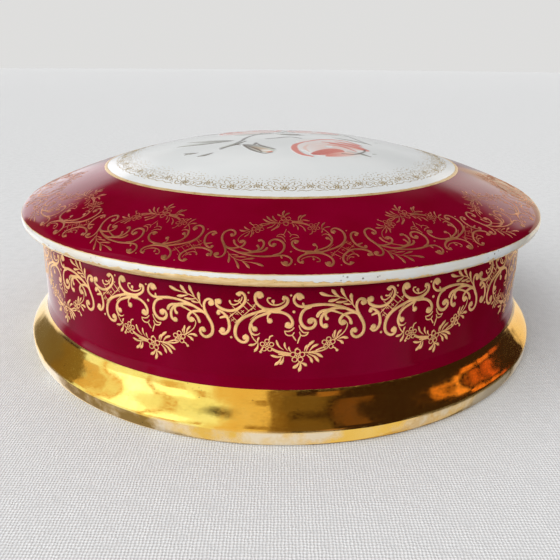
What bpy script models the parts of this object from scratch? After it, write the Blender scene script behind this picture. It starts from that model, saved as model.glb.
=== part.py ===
"""A porcelain trinket box: a round footed bowl and the domed lid that lifts off it.

Two lathe-turned solids in one frame, in metres, +Z up.  The origin is the centre of
the face that the foot ring stands on, so the axis of the box is the Z axis.
"""
import math

import bmesh
import bpy

MM = 0.001

# Overall sizes
LID_RADIUS = 88.8 * MM        # widest point of the lid's rounded rim
FOOT_RADIUS = 90.9 * MM       # widest point of the foot
WALL_RADIUS = 84.1 * MM       # outside of the bowl's wall
LID_SEAT_Z = 41.7 * MM        # height of the joint between the bowl and the lid
APEX_Z = 65.4 * MM            # top of the lid
TURN_STEPS = 72               # facets round each turned solid
CLEARANCE = 0.3 * MM          # gap left where the lid rests on the bowl

# Bowl
MOUTH_LIP_RADIUS = 82.9 * MM  # outside of the wall where it meets the lid
MOUTH_INNER_RADIUS = 79.6 * MM
FLARE_TOP_Z = 12.8 * MM       # where the foot's flare turns into the wall
FLARE_TOP_RADIUS = 85.1 * MM
FOOT_EDGE_TOP_Z = 4.3 * MM    # top of the foot's upright edge
FOOT_RING_WIDTH = 7.0 * MM    # width of the flat ring that touches the table
FOOT_CHAMFER = 0.4 * MM
FLOOR_TOP_Z = 8.4 * MM        # inside floor of the bowl
FLOOR_UNDER_Z = 3.4 * MM      # underside of that floor, above the table
FLOOR_CORNER = 9.0 * MM       # radius of the round between floor and wall
UNDER_CORNER = 2.4 * MM       # radius of the round inside the foot ring

# Lid
DOME_SPHERE_RADIUS = 213.0 * MM   # radius of the sphere that the dome is cut from
DOME_EDGE_RADIUS = 84.5 * MM      # where the dome starts to roll over into the rim
RIM_WIDEST_Z = 43.7 * MM          # height of the rim's widest point
RIM_UNDER_ROUND = 1.6 * MM        # round between the rim and its flat underside
LID_THICKNESS = 4.4 * MM
FLANGE_OUTER_RADIUS = 78.4 * MM   # the ring under the lid that drops into the mouth
FLANGE_INNER_RADIUS = 75.4 * MM
FLANGE_BOTTOM_Z = 35.9 * MM


def arc(center, radius, start_deg, end_deg, count):
    """Points of an arc in the profile plane, both ends included."""
    points = []
    for step in range(count + 1):
        angle = math.radians(start_deg + (end_deg - start_deg) * step / count)
        points.append((center[0] + radius * math.cos(angle), center[1] + radius * math.sin(angle)))
    return points


def bezier(start, first, second, end, count):
    """Points of a cubic curve in the profile plane, both ends included."""
    points = []
    for step in range(count + 1):
        t = step / count
        weights = ((1 - t) ** 3, 3 * t * (1 - t) ** 2, 3 * t * t * (1 - t), t ** 3)
        points.append(tuple(sum(w * p[axis] for w, p in zip(weights, (start, first, second, end)))
                            for axis in (0, 1)))
    return points


def dome_z(radius, sphere_radius=DOME_SPHERE_RADIUS, apex=APEX_Z):
    """Height of a spherical cap at a distance from the axis."""
    return apex - (sphere_radius - math.sqrt(sphere_radius ** 2 - radius ** 2))


def turn(name, profile, material):
    """Turn a closed profile that starts and ends on the axis into a closed solid.

    The profile runs from the top of the axis, down the outer side, to the bottom of the axis.
    """
    mesh = bpy.data.meshes.new(name)
    build = bmesh.new()
    top = build.verts.new((0.0, 0.0, profile[0][1]))
    bottom = build.verts.new((0.0, 0.0, profile[-1][1]))
    rings = []
    for radius, height in profile[1:-1]:
        ring = []
        for step in range(TURN_STEPS):
            angle = 2 * math.pi * step / TURN_STEPS
            ring.append(build.verts.new((radius * math.cos(angle), radius * math.sin(angle), height)))
        rings.append(ring)
    for step in range(TURN_STEPS):
        after = (step + 1) % TURN_STEPS
        build.faces.new((top, rings[0][step], rings[0][after]))
        build.faces.new((bottom, rings[-1][after], rings[-1][step]))
        for upper, lower in zip(rings, rings[1:]):
            build.faces.new((upper[step], lower[step], lower[after], upper[after]))
    bmesh.ops.recalc_face_normals(build, faces=build.faces)
    build.to_mesh(mesh)
    build.free()
    mesh.shade_smooth()
    mesh.set_sharp_from_angle(angle=math.radians(35))
    mesh.materials.append(material)
    piece = bpy.data.objects.new(name, mesh)
    bpy.context.collection.objects.link(piece)
    return piece


def glaze(name, color, roughness, metallic=0.0):
    """A plain glossy finish."""
    material = bpy.data.materials.new(name)
    material.use_nodes = True
    shader = material.node_tree.nodes["Principled BSDF"]
    shader.inputs["Base Color"].default_value = (*color, 1.0)
    shader.inputs["Roughness"].default_value = roughness
    shader.inputs["Metallic"].default_value = metallic
    return material


def make_box_base(material):
    """The bowl: inside floor, wall, mouth, flared foot and the recess under the floor."""
    lip_z = LID_SEAT_Z - CLEARANCE
    lip_center = (MOUTH_LIP_RADIUS + MOUTH_INNER_RADIUS) / 2
    lip_half = (MOUTH_LIP_RADIUS - MOUTH_INNER_RADIUS) / 2
    inner_wall = MOUTH_INNER_RADIUS
    floor_center = (inner_wall - FLOOR_CORNER, FLOOR_TOP_Z + FLOOR_CORNER)
    profile = [(0.0, FLOOR_TOP_Z), (floor_center[0] / 2, FLOOR_TOP_Z)]
    profile += arc(floor_center, FLOOR_CORNER, -90, 0, 5)
    profile += [(inner_wall, lip_z - 1.2 * MM), (lip_center - lip_half + 0.5 * MM, lip_z - 0.3 * MM)]
    profile += [(lip_center - 1.2 * MM, lip_z), (lip_center + 1.2 * MM, lip_z)]
    profile += [(MOUTH_LIP_RADIUS - 0.4 * MM, lip_z - 0.4 * MM), (MOUTH_LIP_RADIUS, lip_z - 1.4 * MM)]
    profile += bezier((MOUTH_LIP_RADIUS + 0.3 * MM, 37.0 * MM), (WALL_RADIUS, 33.0 * MM),
                      (WALL_RADIUS, 22.0 * MM), (FLARE_TOP_RADIUS - 0.6 * MM, FLARE_TOP_Z + 2.6 * MM), 5)
    profile += bezier((FLARE_TOP_RADIUS, FLARE_TOP_Z), (FLARE_TOP_RADIUS + 0.5 * MM, 9.2 * MM),
                      (FOOT_RADIUS - 2.0 * MM, 7.4 * MM), (FOOT_RADIUS, FOOT_EDGE_TOP_Z), 5)
    profile += [(FOOT_RADIUS, FOOT_CHAMFER), (FOOT_RADIUS - FOOT_CHAMFER, 0.0), (FOOT_RADIUS - FOOT_RING_WIDTH, 0.0)]
    under_center = (FOOT_RADIUS - FOOT_RING_WIDTH - UNDER_CORNER - 0.8 * MM, FLOOR_UNDER_Z - UNDER_CORNER)
    profile += arc(under_center, UNDER_CORNER, 0, 90, 3)
    profile += [(under_center[0] / 2, FLOOR_UNDER_Z), (0.0, FLOOR_UNDER_Z)]
    return turn("box_base", profile, material)


def make_lid(material):
    """The lid: a shallow dome, a rolled rim and the ring that drops into the mouth."""
    dome_rings = 9
    profile = [(0.0, APEX_Z)]
    for step in range(1, dome_rings):
        radius = DOME_EDGE_RADIUS * step / dome_rings
        profile.append((radius, dome_z(radius)))
    shoulder = (DOME_EDGE_RADIUS, dome_z(DOME_EDGE_RADIUS))
    slope = DOME_EDGE_RADIUS / math.sqrt(DOME_SPHERE_RADIUS ** 2 - DOME_EDGE_RADIUS ** 2)
    shoulder_pull = 2.2 * MM
    profile += bezier(shoulder, (shoulder[0] + shoulder_pull, shoulder[1] - slope * shoulder_pull),
                      (LID_RADIUS, RIM_WIDEST_Z + shoulder_pull), (LID_RADIUS, RIM_WIDEST_Z), 5)
    under_round_height = RIM_WIDEST_Z - LID_SEAT_Z
    for step in range(1, 4):
        angle = math.radians(-90 * step / 3)
        profile.append((LID_RADIUS - RIM_UNDER_ROUND * (1 - math.cos(angle)),
                        RIM_WIDEST_Z + under_round_height * math.sin(angle)))
    profile += [(FLANGE_OUTER_RADIUS + 0.6 * MM, LID_SEAT_Z), (FLANGE_OUTER_RADIUS, LID_SEAT_Z - 0.8 * MM)]
    flange_center = (FLANGE_OUTER_RADIUS + FLANGE_INNER_RADIUS) / 2
    profile += [(FLANGE_OUTER_RADIUS - 0.3 * MM, FLANGE_BOTTOM_Z + 0.8 * MM)]
    profile += [(flange_center + 0.5 * MM, FLANGE_BOTTOM_Z), (flange_center - 0.5 * MM, FLANGE_BOTTOM_Z)]
    profile += [(FLANGE_INNER_RADIUS + 0.3 * MM, FLANGE_BOTTOM_Z + 0.8 * MM)]
    inner_sphere = DOME_SPHERE_RADIUS - LID_THICKNESS
    inner_apex = APEX_Z - LID_THICKNESS
    profile.append((FLANGE_INNER_RADIUS, dome_z(FLANGE_INNER_RADIUS, inner_sphere, inner_apex) - 2.5 * MM))
    under_edge = FLANGE_INNER_RADIUS - 2.5 * MM
    under_rings = 7
    for step in range(under_rings, 0, -1):
        radius = under_edge * step / under_rings
        profile.append((radius, dome_z(radius, inner_sphere, inner_apex)))
    profile.append((0.0, inner_apex))
    return turn("lid", profile, material)


def clear_scene():
    """Start from an empty scene."""
    for piece in list(bpy.data.objects):
        bpy.data.objects.remove(piece, do_unlink=True)


def main():
    """Build the two porcelain pieces where they lie when the box is closed."""
    clear_scene()
    make_box_base(glaze("crimson_glaze", (0.19, 0.002, 0.026), 0.12))
    make_lid(glaze("white_glaze", (0.74, 0.76, 0.75), 0.12))


main()
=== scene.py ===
"""The looks of the porcelain trinket box: glaze, gilding, printed scrollwork and the painted medallion.

Lengths are in metres in the CAD's frame, except that names ending in _MM or _mm, the printed marks and the
painting are in millimetres.  The two CAD nodes are replaced by finely turned pieces of the same shape, and
every coating is a thin piece of its own that rides on its body.
"""
import math

import bmesh
import bpy
import numpy as np
from mathutils import Matrix, Vector, noise


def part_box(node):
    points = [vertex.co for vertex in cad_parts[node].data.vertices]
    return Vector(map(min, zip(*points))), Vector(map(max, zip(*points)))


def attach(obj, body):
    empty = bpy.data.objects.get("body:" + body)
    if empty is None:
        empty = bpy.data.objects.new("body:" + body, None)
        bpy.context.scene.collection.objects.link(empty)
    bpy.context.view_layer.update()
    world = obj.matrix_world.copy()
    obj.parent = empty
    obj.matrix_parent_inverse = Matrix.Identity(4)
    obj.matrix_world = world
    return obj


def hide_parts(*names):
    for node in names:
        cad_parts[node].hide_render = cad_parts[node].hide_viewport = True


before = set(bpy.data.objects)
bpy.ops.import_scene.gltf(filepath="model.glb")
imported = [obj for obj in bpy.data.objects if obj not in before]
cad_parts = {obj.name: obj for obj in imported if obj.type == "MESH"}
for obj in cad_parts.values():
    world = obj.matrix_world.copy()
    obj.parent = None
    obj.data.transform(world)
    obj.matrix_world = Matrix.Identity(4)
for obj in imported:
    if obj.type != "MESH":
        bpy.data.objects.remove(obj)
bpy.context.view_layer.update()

BASE_HIGH = Vector(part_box("box_base")[1])
LID_LOW, LID_HIGH = (Vector(corner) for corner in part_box("lid"))

MM = 0.001
TURN_STEPS = 288        # facets round each turned piece

# Main sizes, read from the CAD
FOOT_RADIUS = BASE_HIGH.x
LID_RADIUS = LID_HIGH.x
LIP_Z = BASE_HIGH.z
LID_SEAT_Z = LIP_Z + 0.3 * MM      # the lid rests a hair above the bowl's lip
APEX_Z = LID_HIGH.z
FLANGE_BOTTOM_Z = LID_LOW.z

# Bowl
WALL_RADIUS = FOOT_RADIUS - 6.8 * MM
MOUTH_LIP_RADIUS = WALL_RADIUS - 1.2 * MM
MOUTH_INNER_RADIUS = WALL_RADIUS - 4.5 * MM
FLARE_TOP_RADIUS = WALL_RADIUS + 1.0 * MM
FLARE_TOP_Z = 12.8 * MM
FOOT_EDGE_TOP_Z = 4.3 * MM
FOOT_RING_WIDTH = 7.0 * MM
FLOOR_TOP_Z = 8.4 * MM
FLOOR_UNDER_Z = 3.4 * MM
FLOOR_CORNER = 9.0 * MM
UNDER_CORNER = 2.4 * MM

# Lid
DOME_SPHERE_RADIUS = 213.0 * MM
DOME_EDGE_RADIUS = LID_RADIUS - 4.3 * MM
RIM_WIDEST_Z = LID_SEAT_Z + 2.0 * MM
RIM_UNDER_ROUND = 1.6 * MM
LID_THICKNESS = 4.4 * MM
FLANGE_OUTER_RADIUS = 78.4 * MM
FLANGE_INNER_RADIUS = 75.4 * MM
MEDALLION_RADIUS = 61.4 * MM
RIM_POINTS = 4          # how many of the shoulder's points belong to the white rim

# Decoration.  Angles are measured from the front.
MOTIF_COUNT = 14
MOTIF_WIDTH_MM = 38.46
MOTIF_TOP_MM = 40.9
WALL_MOTIF_TURN = math.radians(3.2)
LID_MOTIF_TURN = math.radians(0.8)
LACE_COUNT = 24
LACE_TURN = math.radians(1.0)
GILDING = 0.05 * MM


# ---------------- outlines

def bezier(start, first, second, end, count):
    """Points of a cubic curve, both ends included."""
    points = []
    for step in range(count + 1):
        t = step / count
        weights = ((1 - t) ** 3, 3 * t * (1 - t) ** 2, 3 * t * t * (1 - t), t ** 3)
        points.append(tuple(sum(w * p[axis] for w, p in zip(weights, (start, first, second, end)))
                            for axis in (0, 1)))
    return points


def arc(center, radii, start_deg, end_deg, count):
    """Points of an elliptical arc, both ends included."""
    points = []
    for step in range(count + 1):
        angle = math.radians(start_deg + (end_deg - start_deg) * step / count)
        points.append((center[0] + radii[0] * math.cos(angle), center[1] + radii[1] * math.sin(angle)))
    return points


def dome_z(radius, sphere_radius=DOME_SPHERE_RADIUS, apex=APEX_Z):
    """Height of the lid's dome at a distance from the axis."""
    return apex - (sphere_radius - math.sqrt(sphere_radius ** 2 - radius ** 2))


def dome_rings(steps, pitch, *dome):
    """Points of a dome at whole numbers of steps from the axis."""
    return [(pitch * step, dome_z(pitch * step, *dome)) for step in steps]


def wall_outline():
    """The bowl's wall, from just under its mouth down to the top of the flare."""
    return ([(MOUTH_LIP_RADIUS, LIP_Z - 1.4 * MM)]
            + bezier((MOUTH_LIP_RADIUS + 0.3 * MM, 37.0 * MM), (WALL_RADIUS, 33.0 * MM),
                     (WALL_RADIUS, 22.0 * MM), (FLARE_TOP_RADIUS - 0.6 * MM, FLARE_TOP_Z + 2.6 * MM), 24)
            + [(FLARE_TOP_RADIUS - 0.15 * MM, FLARE_TOP_Z + 0.9 * MM)])


def flare_outline():
    """The foot's hollow flare and its upright edge, from the wall down to the table."""
    return (bezier((FLARE_TOP_RADIUS, FLARE_TOP_Z), (FLARE_TOP_RADIUS + 0.5 * MM, 9.2 * MM),
                   (FOOT_RADIUS - 2.0 * MM, 7.4 * MM), (FOOT_RADIUS - 0.25 * MM, FOOT_EDGE_TOP_Z + 0.35 * MM),
                   22)
            + [(FOOT_RADIUS, FOOT_EDGE_TOP_Z - 0.2 * MM)]
            + bezier((FOOT_RADIUS, FOOT_EDGE_TOP_Z - 0.8 * MM), (FOOT_RADIUS, 1.6 * MM),
                     (FOOT_RADIUS - 0.05 * MM, 0.5 * MM), (FOOT_RADIUS - 0.45 * MM, 0.12 * MM), 8))


def lid_shoulder():
    """The roll from the dome's edge round to the rim's widest point."""
    start = (DOME_EDGE_RADIUS, dome_z(DOME_EDGE_RADIUS))
    slope = DOME_EDGE_RADIUS / math.sqrt(DOME_SPHERE_RADIUS ** 2 - DOME_EDGE_RADIUS ** 2)
    pull = 2.2 * MM
    return bezier(start, (start[0] + pull, start[1] - slope * pull),
                  (LID_RADIUS, RIM_WIDEST_Z + pull), (LID_RADIUS, RIM_WIDEST_Z), 14)


def lid_outline():
    """The lid's whole upper side, from its apex to its widest point."""
    rings = 44
    return dome_rings(range(rings), DOME_EDGE_RADIUS / rings) + lid_shoulder()


def rim_under():
    """The round under the rim, from the widest point to the flat underside."""
    return arc((LID_RADIUS - RIM_UNDER_ROUND, RIM_WIDEST_Z), (RIM_UNDER_ROUND, RIM_WIDEST_Z - LID_SEAT_Z),
               0, -90, 8)


# ---------------- mesh builders

def add_piece(mesh, body):
    """Link a mesh as a piece that rides on a CAD body."""
    piece = bpy.data.objects.new(mesh.name, mesh)
    bpy.context.scene.collection.objects.link(piece)
    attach(piece, body)
    return piece


def turned_mesh(name, zones, materials, closed_loop=False):
    """Turn an outline about the Z axis.

    zones is a list of (points, material index).  The outline runs down the outer side.  It starts and ends on
    the axis, or with closed_loop it is a ring's whole section and joins its last point to its first.
    """
    outline, finishes = [], []
    for points, finish in zones:
        for point in points:
            outline.append(point)
            finishes.append(finish)
    build = bmesh.new()
    rings = []
    for radius, height in outline:
        if radius < 1e-9:
            rings.append([build.verts.new((0.0, 0.0, height))])
            continue
        rings.append([build.verts.new((radius * math.cos(2 * math.pi * step / TURN_STEPS),
                                       radius * math.sin(2 * math.pi * step / TURN_STEPS), height))
                      for step in range(TURN_STEPS)])
    pairs = list(zip(rings, rings[1:], finishes))
    if closed_loop:
        pairs.append((rings[-1], rings[0], finishes[-1]))
    for upper, lower, finish in pairs:
        for step in range(TURN_STEPS):
            after = (step + 1) % TURN_STEPS
            if len(upper) == 1:
                corners = (upper[0], lower[step], lower[after])
            elif len(lower) == 1:
                corners = (upper[step], lower[0], upper[after])
            else:
                corners = (upper[step], lower[step], lower[after], upper[after])
            build.faces.new(corners).material_index = finish
    mesh = bpy.data.meshes.new(name)
    build.to_mesh(mesh)
    build.free()
    for material in materials:
        mesh.materials.append(material)
    mesh.shade_smooth()
    mesh.set_sharp_from_angle(angle=math.radians(40))
    return mesh


def offset_outline(points, distance):
    """The same outline moved outwards by a small distance."""
    moved = []
    for index, point in enumerate(points):
        before = points[max(index - 1, 0)]
        after = points[min(index + 1, len(points) - 1)]
        along = Vector((after[0] - before[0], after[1] - before[1])).normalized()
        moved.append((point[0] - along.y * distance, point[1] + along.x * distance))
    return moved


def coat_mesh(name, points, thickness, material):
    """A thin turned coat that hugs part of an outline and is let into the surface by a hair."""
    outside = offset_outline(points, thickness)
    inside = offset_outline(points, -0.4 * thickness)
    return turned_mesh(name, [(outside + inside[::-1], 0)], [material], closed_loop=True)


def smooth_line(points, spacing):
    """Evenly sampled points of a smooth curve through the given ones."""
    points = [np.array(point, float) for point in points]
    ends = [2 * points[0] - points[1]] + points + [2 * points[-1] - points[-2]]
    samples = []
    for before, start, end, after in zip(ends, ends[1:], ends[2:], ends[3:]):
        count = max(1, round(float(np.linalg.norm(end - start)) / spacing))
        for step in range(count):
            t = step / count
            samples.append(0.5 * (2 * start + (end - before) * t
                                  + (2 * before - 5 * start + 4 * end - after) * t ** 2
                                  + (3 * start - before - 3 * end + after) * t ** 3))
    samples.append(points[-1])
    return np.array(samples)


class Print:
    """Low raised marks on an unrolled surface.

    points holds (across, up, height, tone) in millimetres.  tone is 0 at a mark's edge and 1 in its middle.
    """

    def __init__(self, height=0.04, spacing=0.46, weight=1.0):
        self.height = height
        self.spacing = spacing
        self.weight = weight
        self.points = []
        self.faces = []

    def _loft(self, line, half_widths, closed=False):
        """A low ridge along a line, with a hidden underside."""
        along = np.gradient(line, axis=0)
        if closed:
            along = np.roll(line, -1, axis=0) - np.roll(line, 1, axis=0)
        along /= np.maximum(np.linalg.norm(along, axis=1, keepdims=True), 1e-9)
        across = np.stack([-along[:, 1], along[:, 0]], axis=1)
        start = len(self.points)
        flat = 0.55             # share of the width that is at full height
        for center, side, half in zip(line, across, half_widths):
            lift = self.height * min(1.0, 0.35 + half / 0.3)        # thin lines are lower
            self.points += [(*(center + side * half), 0.0, 0.0), (*(center + side * half * flat), lift, 0.9),
                            (*(center - side * half * flat), lift, 0.9), (*(center - side * half), 0.0, 0.0),
                            (*center, -0.5 * self.height, 0.0)]
        rows, corners = len(line), 5
        for row in range(rows if closed else rows - 1):
            here, there = start + corners * row, start + corners * ((row + 1) % rows)
            for side in range(corners):
                after = (side + 1) % corners
                self.faces.append((here + side, here + after, there + after, there + side))
        if not closed:
            self.faces.append(tuple(reversed(range(start, start + corners))))
            self.faces.append(tuple(range(len(self.points) - corners, len(self.points))))

    def stroke(self, points, widths):
        """A line whose width runs through the given values from its start to its end."""
        line = smooth_line(points, self.spacing)
        position = np.linspace(0, 1, len(line))
        half = 0.5 * self.weight * np.interp(position, np.linspace(0, 1, len(widths)), widths)
        # Two more points at either end round it off
        first, last = line[0] - line[1], line[-1] - line[-2]
        first /= np.linalg.norm(first)
        last /= np.linalg.norm(last)
        line = np.vstack([line[0] + first * half[0] * 0.9, line[0] + first * half[0] * 0.5, line,
                          line[-1] + last * half[-1] * 0.5, line[-1] + last * half[-1] * 0.9])
        half = np.concatenate([[half[0] * 0.35, half[0] * 0.8], half, [half[-1] * 0.8, half[-1] * 0.35]])
        self._loft(line, half)

    def leaf(self, base, tip, width, bend=0.12):
        """A drop-shaped leaf, thin at its base and full near its tip."""
        base, tip = np.array(base, float), np.array(tip, float)
        side = np.array([-(tip - base)[1], (tip - base)[0]]) * bend
        line = smooth_line([base, (base + tip) / 2 + side, tip], self.spacing)
        position = np.linspace(0, 1, len(line))
        fullest = 0.68
        rise = np.clip(position / fullest, 0.0, 1.0)
        fall = np.clip((position - fullest) / (1.0 - fullest), 0.0, 1.0)
        half = 0.5 * self.weight * width * (0.22 + 0.78 * rise ** 1.2) * np.sqrt(1.0 - 0.97 * fall ** 2)
        self._loft(line, half)

    def dot(self, center, radius):
        """A low round boss."""
        center = np.array(center, float)
        radius = radius * self.weight
        top = len(self.points)
        sides = 14
        self.points.append((*center, self.height, 1.0))
        for ring_radius, lift, tone in ((0.6 * radius, 0.9 * self.height, 0.85), (radius, 0.0, 0.1)):
            for step in range(sides):
                angle = 2 * math.pi * step / sides
                self.points.append((center[0] + ring_radius * math.cos(angle),
                                    center[1] + ring_radius * math.sin(angle), lift, tone))
        bottom = len(self.points)
        self.points.append((*center, -0.5 * self.height, 0.0))
        for step in range(sides):
            after = (step + 1) % sides
            inner, inner_after = top + 1 + step, top + 1 + after
            outer, outer_after = inner + sides, inner_after + sides
            self.faces.append((top, inner, inner_after))
            self.faces.append((inner, outer, outer_after, inner_after))
            self.faces.append((bottom, outer_after, outer))

    def ring(self, center, radius, width):
        """A small open circle."""
        pitch, fewest = 0.36, 9
        count = max(fewest, int(2 * math.pi * radius / pitch))
        angles = np.linspace(0, 2 * math.pi, count, endpoint=False)
        line = np.stack([center[0] + radius * np.cos(angles), center[1] + radius * np.sin(angles)], axis=1)
        self._loft(line, np.full(count, self.weight * width / 2), closed=True)


def wrap_print(name, marks, places, surface, material):
    """Lay copies of a print on a surface, one at each of the angles in places.

    surface(across, up, height, place) gives the points in space for one copy.
    """
    flat = np.array(marks.points)
    count = len(flat)
    coords = [surface(flat[:, 0], flat[:, 1], flat[:, 2] * MM, place) for place in places]
    faces = []
    for copy in range(len(places)):
        faces += [tuple(corner + copy * count for corner in face) for face in marks.faces]
    mesh = bpy.data.meshes.new(name)
    mesh.from_pydata(np.concatenate(coords).tolist(), [], faces)
    mesh.update()
    tone = mesh.attributes.new("tone", "FLOAT", "POINT")
    tone.data.foreach_set("value", np.tile(flat[:, 3], len(places)))
    mesh.materials.append(material)
    mesh.shade_smooth()
    return mesh


# ---------------- the printed scrollwork, in millimetres

def draw_upper_left(marks):
    """The open C-scroll at the strip's left end with its inner curls, and the S-scroll under it."""
    marks.stroke([(-20.8, 36.9), (-20.6, 35.7), (-19.4, 34.9), (-17.8, 34.5), (-16.2, 34.7), (-14.8, 35.5),
                  (-13.7, 36.7), (-13.35, 38.0), (-13.8, 39.0), (-14.7, 39.35), (-15.5, 38.9)],
                 (0.8, 0.85, 0.8, 0.75, 0.8, 0.7))
    marks.dot((-20.1, 36.7), 0.82)
    marks.dot((-15.0, 38.9), 0.62)
    marks.stroke([(-17.3, 37.0), (-17.0, 36.3), (-16.1, 36.1), (-15.1, 36.6), (-14.4, 37.4), (-14.2, 38.2)],
                 (0.6, 0.4, 0.35, 0.3))
    marks.stroke([(-16.0, 37.2), (-15.3, 37.1), (-14.7, 37.7)], (0.5, 0.35, 0.25))
    marks.stroke([(-20.4, 33.8), (-20.2, 34.3), (-19.4, 34.1), (-18.5, 33.4), (-17.8, 32.4), (-17.5, 31.2),
                  (-17.45, 30.1), (-17.8, 29.0), (-18.5, 28.3), (-19.3, 28.2), (-19.9, 28.8)],
                 (0.7, 0.75, 0.8, 0.85, 0.8, 0.75))
    marks.dot((-20.2, 33.7), 0.6)
    marks.dot((-19.2, 29.2), 0.8)
    marks.stroke([(-18.1, 33.0), (-19.0, 32.75), (-19.7, 32.5)], (0.9, 0.7, 0.55))


def draw_lattice(marks):
    """The thin crossed net between the scrolls, with a small cross in each of its cells."""
    corner = np.array([-17.6, 32.6])
    rising = np.array([0.73, 0.69])
    falling = np.array([0.74, -0.67])
    cell = 1.95
    for row, (first, last) in enumerate(((0.2, 1.6), (-1.9, 2.0), (-2.0, 1.2))):
        start = corner + rising * (row * cell * 1.05 + 0.9)
        marks.stroke([start + falling * (first + 0.3), start + falling * (last + 0.6)], (0.2, 0.24, 0.2))
    for column, (first, last) in enumerate(((-0.3, 5.0), (0.2, 5.9), (3.6, 6.6))):
        start = corner + falling * column * cell
        marks.stroke([start + rising * first, start + rising * last], (0.2, 0.24, 0.2))
    marks.stroke([(-13.1, 37.1), (-12.0, 36.1), (-10.9, 35.2)], (0.2, 0.3, 0.2))
    marks.stroke([(-11.9, 35.0), (-11.3, 36.0), (-10.9, 36.7)], (0.2, 0.24, 0.2))
    for center in ((-16.9, 33.5), (-15.5, 33.9), (-16.6, 32.1), (-14.1, 34.5), (-11.2, 36.1)):
        for slope in (1, -1):
            arm = np.array((0.35, 0.3 * slope))
            marks.stroke([np.array(center) - arm, np.array(center) + arm], (0.14, 0.16, 0.14))
    for center, radius in (((-12.6, 39.4), 0.3), ((-12.7, 37.5), 0.22), ((-2.1, 38.9), 0.3),
                           ((-1.35, 34.7), 0.4), ((-17.0, 27.4), 0.35)):
        marks.dot(center, radius)


def draw_left_scrolls(marks):
    """The knot of scrolls left of the centre line."""
    marks.stroke([(-9.1, 38.6), (-9.4, 39.3), (-10.2, 39.5), (-10.85, 38.9), (-10.95, 37.9), (-10.6, 36.9),
                  (-9.7, 36.0), (-8.5, 35.4), (-7.0, 35.2), (-5.3, 35.4), (-4.0, 36.0), (-3.1, 36.8),
                  (-2.85, 37.7), (-3.2, 38.3), (-3.9, 38.5)],
                 (0.7, 0.85, 0.8, 0.75, 0.8, 1.0, 0.9, 0.75, 0.8, 0.7))
    marks.dot((-9.85, 38.75), 0.85)
    marks.dot((-3.85, 38.05), 0.52)
    marks.stroke([(-9.0, 35.1), (-7.6, 34.95), (-6.2, 34.95), (-4.9, 35.1)], (0.8, 1.15, 1.15, 0.8))
    marks.stroke([(-7.2, 38.2), (-7.8, 38.2), (-7.9, 37.5), (-7.3, 36.8), (-6.4, 36.45), (-5.3, 36.5),
                  (-4.3, 36.9), (-3.6, 37.5)], (0.4, 0.45, 0.4, 0.45, 0.4, 0.3))
    marks.dot((-6.5, 37.4), 0.46)
    marks.stroke([(-6.5, 37.3), (-6.3, 36.6)], (0.4, 0.3))
    marks.stroke([(-6.6, 35.0), (-8.6, 34.95), (-10.5, 34.4), (-12.5, 33.6), (-14.2, 32.6), (-15.4, 31.2),
                  (-15.95, 29.6), (-15.9, 28.0), (-15.3, 26.9), (-14.4, 26.3), (-13.5, 26.3),
                  (-12.85, 26.9), (-12.8, 27.8), (-13.3, 28.2)],
                 (0.9, 0.8, 0.75, 0.8, 0.85, 0.95, 0.9, 0.85, 0.8, 0.7))
    marks.dot((-13.45, 27.55), 0.78)
    marks.stroke([(-7.4, 34.5), (-9.2, 33.8), (-10.6, 33.1), (-11.7, 32.0), (-12.2, 30.7), (-12.2, 29.6),
                  (-11.8, 28.8), (-11.1, 28.4), (-10.3, 28.5), (-9.8, 28.9)],
                 (0.8, 0.75, 0.7, 0.7, 0.75, 0.8, 0.55, 0.2))
    marks.dot((-11.05, 30.0), 0.78)
    marks.stroke([(-11.8, 31.2), (-11.6, 30.4), (-11.2, 30.0)], (0.4, 0.6, 0.8))
    marks.stroke([(-6.4, 34.7), (-4.6, 34.6), (-3.2, 34.1), (-2.2, 33.2), (-1.7, 32.1), (-1.8, 31.1),
                  (-2.5, 30.6), (-3.3, 30.9)], (0.8, 0.8, 0.75, 0.8, 0.85, 0.8, 0.7))
    marks.dot((-2.75, 31.25), 0.85)
    marks.stroke([(-7.2, 34.4), (-7.75, 33.7), (-7.85, 32.9), (-7.4, 32.3)], (0.6, 0.45, 0.5, 0.6))
    marks.dot((-7.3, 32.3), 0.75)


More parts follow.
